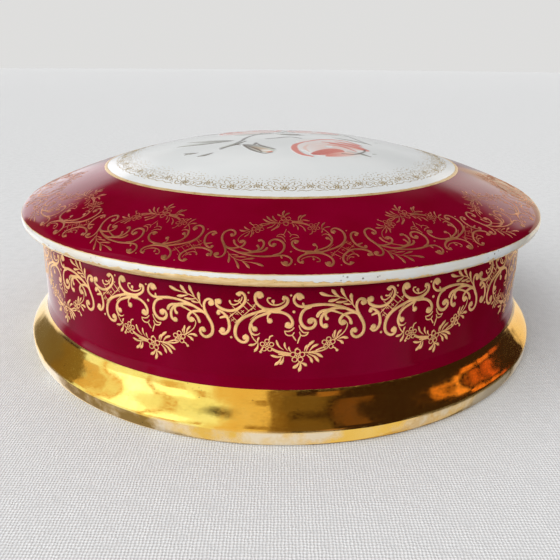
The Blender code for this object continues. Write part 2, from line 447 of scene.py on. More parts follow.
def draw_right_scrolls(marks):
    """The long stem, the big C-scroll and the hooks right of the centre line."""
    marks.stroke([(0.9, 38.3), (0.4, 39.0), (-0.5, 39.15), (-1.2, 38.5), (-1.35, 37.5), (-0.9, 36.7),
                  (-0.1, 36.15), (1.0, 36.0), (2.4, 36.15), (4.4, 36.4), (6.6, 36.4), (8.8, 36.1),
                  (10.8, 35.5), (12.6, 34.7), (14.0, 34.0), (15.2, 33.2)],
                 (0.7, 0.85, 0.7, 0.7, 0.8, 0.85, 0.7, 0.7, 0.75, 0.75, 0.75, 0.8))
    marks.dot((0.05, 38.5), 0.9)
    marks.leaf((1.6, 35.9), (0.8, 37.1), 0.7)
    marks.stroke([(2.8, 35.95), (1.5, 35.4), (0.7, 34.5), (0.3, 33.3), (0.35, 32.1), (0.9, 31.0),
                  (1.9, 30.3), (3.0, 30.3), (3.8, 30.9), (4.1, 31.8), (3.6, 32.6), (2.9, 32.8)],
                 (0.8, 0.75, 0.8, 0.9, 0.95, 0.9, 0.85, 0.8))
    marks.dot((2.75, 32.2), 0.85)
    marks.stroke([(12.0, 35.0), (10.2, 35.45), (8.6, 35.3), (6.9, 34.95), (5.6, 34.7), (4.8, 34.1),
                  (4.55, 33.5)], (0.5, 1.0, 0.8, 0.7, 0.8, 0.95))
    marks.stroke([(8.6, 34.95), (7.2, 34.7), (6.1, 34.0), (5.5, 33.0), (5.4, 32.0), (5.65, 31.1),
                  (6.3, 30.5)], (0.7, 0.9, 0.8, 0.8, 0.85, 0.85))
    marks.dot((6.6, 30.75), 0.72)
    marks.stroke([(6.9, 34.6), (6.5, 33.8), (6.75, 32.9)], (0.8, 0.7, 0.8))
    marks.dot((6.95, 32.7), 0.5)
    marks.stroke([(8.2, 34.8), (9.5, 34.3), (10.8, 33.7), (11.9, 33.1), (12.8, 32.2), (13.2, 31.1)],
                 (0.7, 0.5, 0.5, 0.7, 0.95))
    marks.stroke([(15.0, 33.5), (13.6, 33.9), (12.1, 33.75), (11.0, 33.3), (10.35, 32.5), (10.25, 31.7),
                  (10.8, 31.0), (11.5, 31.2)], (0.6, 0.75, 0.75, 0.8, 0.9, 0.8))
    marks.dot((11.1, 31.6), 0.62)
    marks.stroke([(11.5, 31.9), (12.15, 31.1), (12.15, 30.2), (11.7, 29.2), (10.9, 28.3), (9.9, 27.5),
                  (9.1, 26.9)], (0.3, 0.32, 0.3, 0.35))
    marks.stroke([(16.2, 35.9), (16.9, 36.2), (16.6, 37.0), (15.7, 37.3), (14.9, 36.9), (14.5, 35.9),
                  (14.6, 34.7), (15.0, 33.6), (15.7, 32.3), (16.4, 31.0), (16.7, 29.6), (16.5, 28.3),
                  (15.7, 27.4), (14.7, 27.1), (13.8, 27.6), (13.35, 28.5), (13.6, 29.3), (14.3, 29.5)],
                 (0.7, 0.8, 0.7, 0.75, 0.9, 0.95, 0.9, 0.85, 0.9, 0.85, 0.8, 0.75))
    marks.dot((16.25, 36.3), 0.72)
    marks.dot((14.3, 28.95), 0.68)


def draw_spray(marks):
    """The leaf spray that rises from the long stem, and the lashes under the two middle scrolls."""
    marks.stroke([(14.0, 35.2), (13.2, 36.3), (12.0, 37.4), (10.4, 38.0), (8.6, 38.45)],
                 (0.3, 0.3, 0.28, 0.22))
    for base, tip, width in (((8.5, 38.4), (4.9, 39.5), 0.95), ((10.2, 38.0), (8.0, 40.2), 1.0),
                             ((12.0, 37.5), (10.4, 40.4), 0.95), ((13.5, 36.2), (13.0, 38.9), 1.0),
                             ((10.3, 37.9), (7.1, 37.2), 0.85), ((12.5, 37.1), (9.1, 36.85), 0.7),
                             ((13.6, 36.1), (11.0, 36.45), 0.6)):
        marks.leaf(base, tip, width, bend=0.05)
    for points in ([(-1.3, 30.5), (-1.8, 29.9), (-2.6, 29.55), (-3.6, 29.6)],
                   [(-3.55, 29.4), (-3.4, 28.9), (-2.8, 28.45), (-1.8, 28.45), (-1.25, 29.2)],
                   [(-1.6, 28.4), (-1.2, 27.7), (-0.8, 27.1)],
                   [(0.0, 31.1), (0.2, 30.3), (0.8, 29.4), (1.5, 29.1), (2.3, 29.2)],
                   [(0.1, 29.3), (0.45, 28.45), (1.3, 28.3), (2.0, 28.65), (2.3, 29.2)],
                   [(0.35, 28.3), (-0.05, 27.3), (-0.35, 26.3)]):
        marks.stroke(points, (0.3, 0.4, 0.4, 0.3))


def draw_berries(marks, center, petals, radius, spread):
    """A flower of small open rings about a smaller one."""
    marks.ring(center, 0.32, 0.26)
    for petal in range(petals):
        angle = 2 * math.pi * (petal + 0.25) / petals
        marks.ring((center[0] + spread * math.cos(angle), center[1] + spread * math.sin(angle)), radius, 0.28)


def draw_garland(marks):
    """The V-shaped garland: leaves, ring flowers and the three-leaved tip."""
    marks.stroke([(-12.2, 29.2), (-11.8, 28.1), (-11.2, 27.1), (-10.5, 26.4)], (0.3, 0.34, 0.4))
    for base, tip, width in (((-10.3, 26.5), (-12.7, 25.5), 0.75), ((-10.2, 26.3), (-11.3, 23.7), 0.8),
                             ((-10.3, 26.2), (-9.9, 27.9), 0.6),
                             ((-3.8, 24.4), (-5.7, 27.2), 0.65), ((-2.8, 24.2), (-3.6, 26.6), 0.6),
                             ((-1.9, 23.8), (-2.5, 25.4), 0.6), ((-3.6, 22.8), (-7.1, 22.95), 0.75),
                             ((-4.3, 22.7), (-6.1, 20.1), 0.9), ((-3.8, 22.5), (-4.8, 20.3), 0.85),
                             ((0.2, 21.1), (-1.5, 19.3), 1.0), ((0.3, 21.2), (0.0, 18.2), 0.95),
                             ((0.4, 20.8), (2.1, 19.8), 1.0),
                             ((1.4, 24.0), (2.4, 25.9), 0.65), ((1.8, 23.9), (3.9, 26.9), 0.8),
                             ((2.6, 23.9), (5.0, 25.9), 0.75), ((2.2, 23.6), (6.2, 22.1), 0.85),
                             ((2.4, 23.3), (5.2, 20.8), 0.9), ((2.0, 23.0), (3.5, 20.6), 0.8),
                             ((9.0, 27.0), (8.5, 28.6), 0.45), ((9.3, 26.9), (9.2, 29.6), 0.65),
                             ((9.5, 27.0), (10.8, 29.6), 0.65), ((10.0, 27.1), (12.6, 27.0), 0.9),
                             ((9.6, 26.8), (11.4, 25.5), 0.85)):
        marks.leaf(base, tip, width)
    draw_berries(marks, (-8.0, 25.6), 5, 0.55, 1.2)
    draw_berries(marks, (-0.3, 22.75), 5, 0.66, 1.25)
    draw_berries(marks, (7.5, 26.0), 5, 0.58, 1.15)
    for points in ([(-6.8, 24.9), (-5.2, 24.1), (-2.2, 23.5)], [(-6.6, 24.4), (-4.8, 23.6), (-2.2, 23.2)],
                   [(-5.0, 23.2), (-3.6, 23.0), (-2.2, 22.9)], [(4.4, 24.2), (5.8, 24.8), (6.9, 25.0)],
                   [(4.2, 23.8), (6.0, 24.1), (7.0, 24.5)], [(1.2, 23.7), (2.6, 23.7), (4.4, 24.0)],
                   [(-7.5, 27.2), (-7.2, 28.1), (-6.6, 28.35)], [(-9.1, 24.8), (-9.5, 24.2)],
                   [(8.6, 24.9), (9.3, 24.5), (9.7, 24.0)], [(-0.9, 24.5), (-0.3, 24.9)]):
        marks.stroke(points, (0.35, 0.45, 0.35))
    marks.dot((-9.6, 23.8), 0.4)
    marks.dot((9.75, 23.9), 0.4)


def draw_strip(weight):
    """One repeat of the scrollwork strip, its lines as heavy as weight says."""
    marks = Print(weight=weight)
    for draw in (draw_upper_left, draw_lattice, draw_left_scrolls, draw_right_scrolls, draw_spray,
                 draw_garland):
        draw(marks)
    return marks


def draw_lace():
    """One repeat of the fine lace round the medallion, from its outer edge at zero towards the middle."""
    marks = Print(height=0.03, spacing=0.6, weight=0.9)
    for side in (-1, 1):
        for points, widths in (
                ([(0.6, 1.2), (1.5, 0.6), (2.6, 0.9), (3.1, 2.0), (2.5, 2.9), (1.7, 2.5)],
                 (0.2, 0.34, 0.34, 0.26)),
                ([(2.9, 2.2), (3.8, 3.4), (5.0, 3.3), (5.5, 2.2), (4.8, 1.5), (4.2, 1.9)],
                 (0.2, 0.32, 0.34, 0.24)),
                ([(3.2, 0.3), (4.3, 0.8), (5.6, 0.4), (6.9, 0.9)], (0.2, 0.3, 0.3, 0.2)),
                ([(0.4, 3.2), (1.3, 4.2), (1.1, 5.3), (0.3, 5.5)], (0.2, 0.3, 0.26, 0.2)),
                ([(2.2, 3.4), (3.0, 4.4), (2.6, 5.6), (1.9, 5.2)], (0.2, 0.3, 0.28, 0.2)),
                ([(4.4, 3.9), (4.9, 5.0), (4.1, 5.9)], (0.2, 0.28, 0.2)),
                ([(5.7, 2.9), (6.6, 3.9), (6.4, 5.1)], (0.2, 0.28, 0.2)),
                ([(1.6, 6.3), (2.4, 7.1), (3.5, 6.9)], (0.2, 0.26, 0.2))):
            marks.stroke([(side * across, up) for across, up in points], widths)
        for across, up, radius in ((2.1, 1.8, 0.3), (4.9, 2.4, 0.28), (3.6, 2.3, 0.2), (3.7, 4.9, 0.24),
                                   (5.6, 4.3, 0.24), (1.8, 4.6, 0.22), (0.6, 6.6, 0.2), (3.1, 5.9, 0.2),
                                   (6.3, 2.0, 0.26), (5.2, 6.4, 0.2), (4.6, 7.4, 0.18), (1.5, 8.2, 0.2),
                                   (6.6, 6.3, 0.2), (2.9, 8.4, 0.18), (1.2, 1.9, 0.2), (4.0, 1.4, 0.2)):
            marks.dot((side * across, up), radius)
    draw_berries(marks, (0.0, 2.1), 5, 0.42, 0.85)
    draw_berries(marks, (7.2, 3.0), 4, 0.36, 0.75)
    for center, radius in (((0.0, 4.2), 0.28), ((0.0, 7.6), 0.24), ((0.0, 9.0), 0.2), ((0.0, 0.3), 0.26),
                           ((7.2, 1.0), 0.24), ((7.2, 5.0), 0.24), ((7.2, 7.4), 0.2)):
        marks.dot(center, radius)
    return marks


# ---------------- surfaces that prints lie on

def outline_table(points):
    """Radius, height and outward direction along an outline, as arrays over the distance along it."""
    points = np.array(points)
    steps = np.linalg.norm(np.diff(points, axis=0), axis=1)
    distance = np.concatenate([[0.0], np.cumsum(steps)])
    along = np.gradient(points, axis=0)
    along /= np.linalg.norm(along, axis=1, keepdims=True)
    return distance, points[:, 0], points[:, 1], -along[:, 1], along[:, 0]


WALL_TABLE = outline_table(wall_outline())
LID_TABLE = outline_table(lid_outline())
RIM_TABLE = outline_table(lid_shoulder()[-RIM_POINTS:] + rim_under()[1:])


def place_on(table, distance, angle, height):
    """Points in space at a distance along an outline, at an angle from the front, lifted off the surface."""
    lengths, radii, heights, out_r, out_z = table
    radius = np.interp(distance, lengths, radii) + np.interp(distance, lengths, out_r) * height
    level = np.interp(distance, lengths, heights) + np.interp(distance, lengths, out_z) * height
    return np.stack([radius * np.sin(angle), -radius * np.cos(angle), level], axis=1)


def on_wall(across, up, height, turn):
    """The strip on the bowl's wall, its top just under the lid, laid a touch higher at the right."""
    top_mm = 0.3 - 0.5 * np.sin(turn)
    distance = (top_mm + (MOTIF_TOP_MM - up) * 0.98) * MM
    return place_on(WALL_TABLE, distance, turn + across / MOTIF_WIDTH_MM * 2 * math.pi / MOTIF_COUNT, height)


def on_lid(across, up, height, turn):
    """The strip turned half round on the lid, its garland pointing at the medallion.

    The scrolls fill the whole way round, and the garlands keep their printed width where the dome narrows.
    """
    edge = LID_TABLE[0][-1] - 2.1 * MM
    distance = edge - (MOTIF_TOP_MM - up) * MM
    step = 2 * math.pi / MOTIF_COUNT / MOTIF_WIDTH_MM
    spread = 1.0 + 0.012 * np.clip(27.0 - up, 0.0, 12.0)
    return place_on(LID_TABLE, distance, turn - across * step * spread, height)


def on_medallion(across, up, height, turn):
    """The lace just inside the medallion's gold line."""
    lace_radius = MEDALLION_RADIUS - 3.2 * MM
    radius = lace_radius - up * MM
    distance = np.interp(radius, LID_TABLE[1], LID_TABLE[0])
    return place_on(LID_TABLE, distance, turn + across * MM / (lace_radius - 2.5 * MM), height)


def repeats(count, turn):
    """The angles of copies spaced evenly round the axis."""
    return [turn + 2 * math.pi * copy / count for copy in range(count)]


# ---------------- materials

class Nodes:
    """A short way to add and join the nodes of one material."""

    def __init__(self, name, **constants):
        """constants are values for the shader's own sockets, with _ for a space in a socket's name."""
        self.material = bpy.data.materials.new(name)
        self.material.use_nodes = True
        self.tree = self.material.node_tree
        self.shader = self.tree.nodes["Principled BSDF"]
        for socket, value in constants.items():
            self.shader.inputs[socket.replace("_", " ")].default_value = value
        self.place = self.tree.nodes.new("ShaderNodeTexCoord").outputs["Object"]

    def add(self, kind, **settings):
        """A new node, with inputs set by name."""
        node = self.tree.nodes.new(kind)
        for name, value in settings.items():
            if hasattr(node, name):
                setattr(node, name, value)
            else:
                node.inputs[name.replace("_", " ")].default_value = value
        return node

    def join(self, source, target):
        """Join two sockets."""
        self.tree.links.new(source, target)

    def field(self, kind, output, **settings):
        """An output of a new node that reads the place on the piece."""
        node = self.add(kind, **settings)
        self.join(self.place, node.inputs["Vector"])
        return node.outputs[output]

    def noise(self, scale, detail=2.0, roughness=0.5, squash=None):
        """A noise field over the piece, in cycles per metre, pressed together along its axes by squash."""
        node = self.add("ShaderNodeTexNoise", Scale=scale, Detail=detail, Roughness=roughness)
        place = self.place if squash is None else self.field("ShaderNodeMapping", "Vector", Scale=squash)
        self.join(place, node.inputs["Vector"])
        return node.outputs["Fac"]

    def ramp(self, source, stops):
        """A colour ramp from a list of (place, colour)."""
        node = self.tree.nodes.new("ShaderNodeValToRGB")
        elements = node.color_ramp.elements
        while len(elements) < len(stops):
            elements.new(0.5)
        for element, (place, color) in zip(elements, stops):
            element.position = place
            element.color = (*color, 1.0)
        self.join(source, node.inputs["Fac"])
        return node.outputs["Color"]

    def span(self, source, low, high, to_low, to_high):
        """Map a range of one value onto another."""
        node = self.add("ShaderNodeMapRange", From_Min=low, From_Max=high, To_Min=to_low, To_Max=to_high)
        self.join(source, node.inputs["Value"])
        return node.outputs["Result"]

    def fill(self, *pairs):
        """Give each input its value, which is a socket, a number or a plain colour."""
        for value, socket in pairs:
            if isinstance(value, bpy.types.NodeSocket):
                self.join(value, socket)
            else:
                socket.default_value = (*value, 1.0) if isinstance(value, tuple) else value

    def mix(self, factor, first, second):
        """A blend of two colours."""
        node = self.add("ShaderNodeMix", data_type="RGBA")
        self.fill((factor, node.inputs[0]), (first, node.inputs[6]), (second, node.inputs[7]))
        return node.outputs[2]

    def combine(self, operation, first, second):
        """Two values put together by one operation."""
        node = self.add("ShaderNodeMath", operation=operation)
        self.fill((first, node.inputs[0]), (second, node.inputs[1]))
        return node.outputs["Value"]

    def sum(self, first, second):
        """Two values added."""
        return self.combine("ADD", first, second)

    def product(self, first, second):
        """Two values multiplied."""
        return self.combine("MULTIPLY", first, second)

    def set(self, socket, source):
        """Drive one of the shader's sockets."""
        self.join(source, self.shader.inputs[socket])

    def bump(self, height, strength, distance):
        """Raise the surface by a height field, by distance where the field is one."""
        node = self.add("ShaderNodeBump", Strength=strength, Distance=distance)
        self.join(height, node.inputs["Height"])
        self.join(node.outputs["Normal"], self.shader.inputs["Normal"])


def make_crimson():
    """The deep crimson ground: faintly clouded, with painted shade in a narrow band just under the lid's rim.
    """
    nodes = Nodes("crimson_ground", IOR=1.25, Specular_Tint=(1.0, 0.04, 0.30, 1.0))
    cloud = nodes.noise(70.0, 3.0)
    color = nodes.ramp(cloud, ((0.30, (0.165, 0.0, 0.010)), (0.70, (0.202, 0.0, 0.018))))
    level = nodes.field("ShaderNodeSeparateXYZ", "Z")
    # Painted shade: the wall's top goes near black just under the lip, for the shadow in the joint. It shows
    # as a fine dark line there when the lid is lifted.
    rim_shade_band = nodes.span(level, LIP_Z - 2.6 * MM, LIP_Z - 1.2 * MM, 0.0, 0.85)
    above = nodes.span(level, LIP_Z + 0.4 * MM, LIP_Z + 0.6 * MM, 1.0, 0.0)
    nodes.set("Base Color", nodes.mix(nodes.product(rim_shade_band, above), color, (0.022, 0.002, 0.002)))
    nodes.set("Roughness", nodes.span(nodes.noise(420.0, 4.0), 0.35, 0.75, 0.035, 0.08))
    nodes.bump(nodes.noise(42.0, 1.5), 0.35, 0.9 * MM)
    return nodes.material


def make_white(name="white_glaze_clear", specks=0.0):
    """Cool white porcelain under a clear glaze, with stains and rare dark specks if specks is above zero."""
    nodes = Nodes(name, IOR=1.5)
    cloud = nodes.noise(36.0, 3.0)
    tone = nodes.ramp(cloud, ((0.32, (0.715, 0.735, 0.735)), (0.70, (0.775, 0.785, 0.780))))
    if specks:
        away = nodes.field("ShaderNodeTexVoronoi", "Distance", Scale=620.0)
        patch = nodes.span(nodes.noise(120.0, 2.0), 0.49, 0.56, 0.0, specks)
        near = nodes.span(away, 0.10, 0.20, 1.0, 0.0)
        stain = nodes.span(nodes.noise(48.0, 4.0, 0.6), 0.44, 0.62, 0.0, 0.5)
        tone = nodes.mix(stain, tone, (0.70, 0.59, 0.42))
        tone = nodes.mix(nodes.product(near, patch), tone, (0.10, 0.065, 0.035))
    nodes.set("Base Color", tone)
    nodes.set("Roughness", nodes.span(nodes.noise(300.0, 3.0), 0.3, 0.8, 0.06, 0.12))
    nodes.bump(nodes.noise(38.0, 1.5), 0.35, 0.8 * MM)
    return nodes.material


def make_bare():
    """The unglazed, ground foot ring: matt, with a fine grit and greyed wear."""
    nodes = Nodes("bare_biscuit", Roughness=0.85)
    grit = nodes.noise(1500.0, 4.0, 0.7)
    wear = nodes.noise(90.0, 3.0)
    nodes.set("Base Color", nodes.ramp(wear, ((0.35, (0.60, 0.57, 0.52)), (0.62, (0.74, 0.72, 0.68)))))
    nodes.bump(grit, 0.6, 0.08 * MM)
    return nodes.material


def make_foot_gold():
    """Burnished gilding on the foot: a wavy mirror with rub marks and pits, thin along its upright edge."""
    nodes = Nodes("burnished_gilding")
    patches = nodes.noise(55.0, 4.0, 0.6)
    color = nodes.ramp(patches, ((0.30, (0.88, 0.52, 0.09)), (0.52, (0.92, 0.59, 0.12)),
                                 (0.75, (0.95, 0.66, 0.19))))
    away = nodes.field("ShaderNodeTexVoronoi", "Distance", Scale=900.0)
    worn = nodes.span(nodes.noise(130.0, 5.0, 0.7), 0.60, 0.68, 0.0, 1.0)
    pits = nodes.product(nodes.span(away, 0.14, 0.26, 1.0, 0.0), worn)
    level = nodes.field("ShaderNodeSeparateXYZ", "Z")
    edge = nodes.span(level, FOOT_EDGE_TOP_Z + 0.3 * MM, FOOT_EDGE_TOP_Z - 0.7 * MM, 0.0, 1.0)
    rubbed = nodes.product(edge, nodes.span(nodes.noise(38.0, 5.0, 0.65), 0.47, 0.60, 0.0, 0.75))
    gilt = nodes.mix(pits, color, (0.20, 0.10, 0.03))
    nodes.set("Base Color", nodes.mix(rubbed, gilt, (0.80, 0.74, 0.62)))
    nodes.set("Metallic", nodes.span(rubbed, 0.0, 1.0, 1.0, 0.15))
    rub = nodes.noise(700.0, 4.0, 0.65, squash=(1.0, 1.0, 3.0))
    nodes.set("Roughness", nodes.span(rub, 0.3, 0.8, 0.05, 0.24))
    swell = nodes.sum(nodes.noise(60.0, 2.0), nodes.product(nodes.noise(190.0, 2.0), 0.10))
    nodes.bump(swell, 0.40, 1.1 * MM)
    return nodes.material


def make_print_gold(name, edge, middle, metallic):
    """Printed gold: pale and thin at a line's edges, yellower along its middle, darker where it is worn."""
    nodes = Nodes(name, Roughness=0.34, Metallic=metallic)
    tone = nodes.add("ShaderNodeAttribute", attribute_name="tone").outputs["Fac"]
    grain = nodes.noise(900.0, 3.0, 0.6)
    blend = nodes.span(nodes.sum(tone, nodes.product(grain, 0.9)), 0.55, 1.6, 0.0, 1.0)
    thin = nodes.span(nodes.noise(240.0, 3.0, 0.6), 0.48, 0.66, 0.0, 0.6)
    worn = tuple(0.58 * part for part in middle)
    nodes.set("Base Color", nodes.mix(thin, nodes.mix(blend, edge, middle), worn))
    nodes.bump(grain, 0.25, 0.06 * MM)
    return nodes.material


def make_line_gold():
    """Brushed-on gold lines: satin, a little streaky along the line."""
    nodes = Nodes("brushed_gilding", Metallic=0.4)
    streak = nodes.noise(260.0, 4.0, 0.6, squash=(1.0, 1.0, 6.0))
    nodes.set("Base Color", nodes.ramp(streak, ((0.3, (0.70, 0.45, 0.16)), (0.7, (0.95, 0.72, 0.40)))))
    nodes.set("Roughness", nodes.span(streak, 0.2, 0.8, 0.22, 0.42))
    return nodes.material


def make_enamel():
    """Enamel painting: the colour laid in the mesh, with the grain of a fired transfer."""
    nodes = Nodes("painted_enamel", Roughness=0.16)
    paint = nodes.add("ShaderNodeAttribute", attribute_name="paint").outputs["Color"]
    grain = nodes.span(nodes.noise(1400.0, 2.0), 0.35, 0.65, 0.0, 0.06)
    nodes.set("Base Color", nodes.mix(grain, paint, (0.75, 0.76, 0.755)))
    return nodes.material


# ---------------- porcelain pieces

# Each zone's place in the list of materials
CRIMSON, WHITE, BARE, RIM_WHITE = range(4)


def make_bowl(materials):
    """The whole bowl as one closed turned body."""
    pitch = 7.0 * MM        # between the rings of the flat floors
    lip_middle = (MOUTH_LIP_RADIUS + MOUTH_INNER_RADIUS) / 2
    lip_half_flat = 1.2 * MM
    inside = [(pitch * step, FLOOR_TOP_Z) for step in range(10)]
    inside += arc((MOUTH_INNER_RADIUS - FLOOR_CORNER, FLOOR_TOP_Z + FLOOR_CORNER),
                  (FLOOR_CORNER, FLOOR_CORNER), -90, 0, 14)
    inside += [(MOUTH_INNER_RADIUS, z * MM) for z in (22.0, 28.0, 34.0, 39.0)]
    inside += bezier((MOUTH_INNER_RADIUS, LIP_Z - 1.4 * MM), (MOUTH_INNER_RADIUS, LIP_Z - 0.4 * MM),
                     (MOUTH_INNER_RADIUS + 0.8 * MM, LIP_Z), (lip_middle - lip_half_flat, LIP_Z), 6)
    lip = [(lip_middle + lip_half_flat, LIP_Z)]
    lip += bezier((MOUTH_LIP_RADIUS - 1.0 * MM, LIP_Z), (MOUTH_LIP_RADIUS - 0.4 * MM, LIP_Z),
                  (MOUTH_LIP_RADIUS, LIP_Z - 0.4 * MM), (MOUTH_LIP_RADIUS, LIP_Z - 1.0 * MM), 5)
    flare = flare_outline()
    foot_ring = [flare[-1], (FOOT_RADIUS - 0.8 * MM, 0.0), (FOOT_RADIUS - FOOT_RING_WIDTH, 0.0)]
    recess = arc((FOOT_RADIUS - FOOT_RING_WIDTH - 0.8 * MM - UNDER_CORNER, FLOOR_UNDER_Z - UNDER_CORNER),
                 (UNDER_CORNER, UNDER_CORNER), 0, 90, 8)
    recess += [(pitch * step, FLOOR_UNDER_Z) for step in range(10, -1, -1)]
    zones = [(inside + lip, WHITE), (wall_outline(), CRIMSON), (flare[:-1], WHITE), (foot_ring, BARE),
             (recess, WHITE)]
    piece = add_piece(turned_mesh("bowl_porcelain", zones, materials), "base")
    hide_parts("box_base")


def lid_underside():
    """The lid's underside, from the flat seat round the ring that drops into the mouth, up to the axis."""
    inner_dome = (DOME_SPHERE_RADIUS - LID_THICKNESS, APEX_Z - LID_THICKNESS)
    under_radius = FLANGE_INNER_RADIUS - 2.5 * MM
    flange_middle = (FLANGE_OUTER_RADIUS + FLANGE_INNER_RADIUS) / 2
    under = [(FLANGE_OUTER_RADIUS + 1.2 * MM, LID_SEAT_Z)]
    under += bezier((FLANGE_OUTER_RADIUS + 0.6 * MM, LID_SEAT_Z),
                    (FLANGE_OUTER_RADIUS + 0.1 * MM, LID_SEAT_Z),
                    (FLANGE_OUTER_RADIUS, LID_SEAT_Z - 0.3 * MM),
                    (FLANGE_OUTER_RADIUS, LID_SEAT_Z - 0.8 * MM), 4)
    under += [(FLANGE_OUTER_RADIUS - 0.3 * MM, FLANGE_BOTTOM_Z + 1.0 * MM)]
    under += arc((flange_middle, FLANGE_BOTTOM_Z + 0.8 * MM), (1.2 * MM, 0.8 * MM), 0, -180, 8)
    under += bezier((FLANGE_INNER_RADIUS + 0.2 * MM, FLANGE_BOTTOM_Z + 1.0 * MM),
                    (FLANGE_INNER_RADIUS, 40.0 * MM),
                    (FLANGE_INNER_RADIUS, dome_z(FLANGE_INNER_RADIUS, *inner_dome) - 1.0 * MM),
                    (under_radius, dome_z(under_radius, *inner_dome)), 8)
    rings = 20
    return under + dome_rings(range(rings - 1, -1, -1), under_radius / rings, *inner_dome)


def make_lid(materials):
    """The whole lid as one closed turned body: white medallion, crimson band and white rim."""
    upper = lid_outline()
    band_start = next(index for index, point in enumerate(upper) if point[0] > MEDALLION_RADIUS)
    rim_start = len(upper) - RIM_POINTS
    medallion_edge = (MEDALLION_RADIUS, dome_z(MEDALLION_RADIUS))
    zones = [(upper[:band_start], WHITE), ([medallion_edge] + upper[band_start:rim_start], CRIMSON),
             (upper[rim_start:-1] + rim_under(), RIM_WHITE), (lid_underside(), WHITE)]
    piece = add_piece(turned_mesh("lid_porcelain", zones, materials), "lid")
    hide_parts("lid")


# ---------------- gilding

def worn_line(name, table, end, width, material, wear, seed):
    """A brushed gold line round the axis that is rubbed away from its upper edge.

    end is the distance along the outline to the line's lower edge.  wear(angle) is how much of its width is
    gone at an angle from the front.
    """
    steps = 1200
    # The section: (share of the width, lift in thicknesses of gilding)
    section = ((0.0, -0.4), (0.1, 0.8), (0.25, 1.0), (0.42, 1.0), (0.58, 1.0), (0.75, 1.0), (0.9, 0.8),
               (1.0, -0.4))
    corners = len(section)
    turn = 2 * math.pi / steps
    edges = []
    for step in range(steps):
        angle = turn * step
        spot = Vector((math.cos(angle), math.sin(angle), seed))
        ragged = noise.noise(spot * 30.0) * 0.3 + noise.noise(spot * 95.0) * 0.25
        gone = min(1.0, max(0.0, wear(angle) + ragged * (0.2 + wear(angle))))
        edges.append((width * gone, width * (0.96 + 0.04 * noise.noise(spot * 9.0))))
    thinnest = 0.12 * width
    kept = [lower - upper > thinnest for upper, lower in edges]
    coords, faces, starts = [], [], {}
    for step, (upper, lower) in enumerate(edges):
        if kept[step] and (kept[step - 1] or kept[(step + 1) % steps]):
            starts[step] = len(coords)
            coords += [(end - width + upper + share * (lower - upper), turn * step, lift * GILDING)
                       for share, lift in section]
    for step, here in starts.items():
        there = starts.get((step + 1) % steps)
        if there is None:
            faces.append(tuple(range(here, here + corners)))
        else:
            for side in range(corners):
                after = (side + 1) % corners
                faces.append((here + side, here + after, there + after, there + side))
        if (step - 1) % steps not in starts:
            faces.append(tuple(reversed(range(here, here + corners))))
    coords = np.array(coords)
    mesh = bpy.data.meshes.new(name)
    mesh.from_pydata(place_on(table, coords[:, 0], coords[:, 1], coords[:, 2]).tolist(), [], faces)
    mesh.materials.append(material)
    mesh.shade_smooth()
    return mesh


def edge_wear(angle):
    """How far the thin line between the crimson and the white rim is rubbed away: most of it."""
    return 0.62 + 0.22 * math.sin(2 * angle - 0.6)


def rim_wear(angle):
    """How far the rim's gold is rubbed away: least just left of the front."""
    front = (angle + math.pi) % (2 * math.pi) - math.pi
    kept = math.exp(-((front + 0.13) / 0.36) ** 2)
    return 0.66 - 0.50 * kept + 0.06 * math.sin(3 * angle + 0.7)


def make_gilding():
    """Every gold coating: the foot, the printed scrollwork and the lines."""
    foot = coat_mesh("foot_gilding", flare_outline(), GILDING, make_foot_gold())
    add_piece(foot, "base")
    # The wall's and the lid's prints are the same gold. The wall's gets a paler, brighter colour and the
    # lid's a darker, redder one: painted light and shade for how each faces the room.
    wall_print = make_print_gold("print_gold_wall", (1.0, 0.52, 0.32), (1.0, 0.64, 0.23), 0.32)
    lid_print = make_print_gold("print_gold_lid", (0.79, 0.28, 0.17), (0.81, 0.34, 0.12), 0.75)
    lace_print = make_print_gold("print_gold_lace", (0.44, 0.34, 0.20), (0.66, 0.48, 0.18), 0.5)
    wall_places = repeats(MOTIF_COUNT, WALL_MOTIF_TURN)
    lid_places = repeats(MOTIF_COUNT, LID_MOTIF_TURN)
    lace_places = repeats(LACE_COUNT, LACE_TURN)
    for name, marks, places, surface, material, body in (
            ("wall_scrollwork", draw_strip(1.0), wall_places, on_wall, wall_print, "base"),
            ("lid_scrollwork", draw_strip(0.68), lid_places, on_lid, lid_print, "lid"),
            ("medallion_lace", draw_lace(), lace_places, on_medallion, lace_print, "lid")):
        add_piece(wrap_print(name, marks, places, surface, material), body)
    line_gold = make_line_gold()
    medallion_end = float(np.interp(MEDALLION_RADIUS, LID_TABLE[1], LID_TABLE[0])) + 0.5 * MM
    rim_end = RIM_TABLE[0][-1] - 0.4 * MM
    crimson_end = LID_TABLE[0][-RIM_POINTS] + 0.1 * MM
    for name, table, end, width, wear, seed in (
            ("medallion_line", LID_TABLE, medallion_end, 1.3 * MM, lambda angle: 0.06, 3.0),
            ("rim_gold_line", RIM_TABLE, rim_end, 3.5 * MM, rim_wear, 8.0),
            ("crimson_edge_line", LID_TABLE, crimson_end, 0.5 * MM, edge_wear, 14.0)):
        add_piece(worn_line(name, table, end, width, line_gold, wear, seed), "lid")


# ---------------- the painted medallion

PORCELAIN = np.array((0.75, 0.765, 0.762))


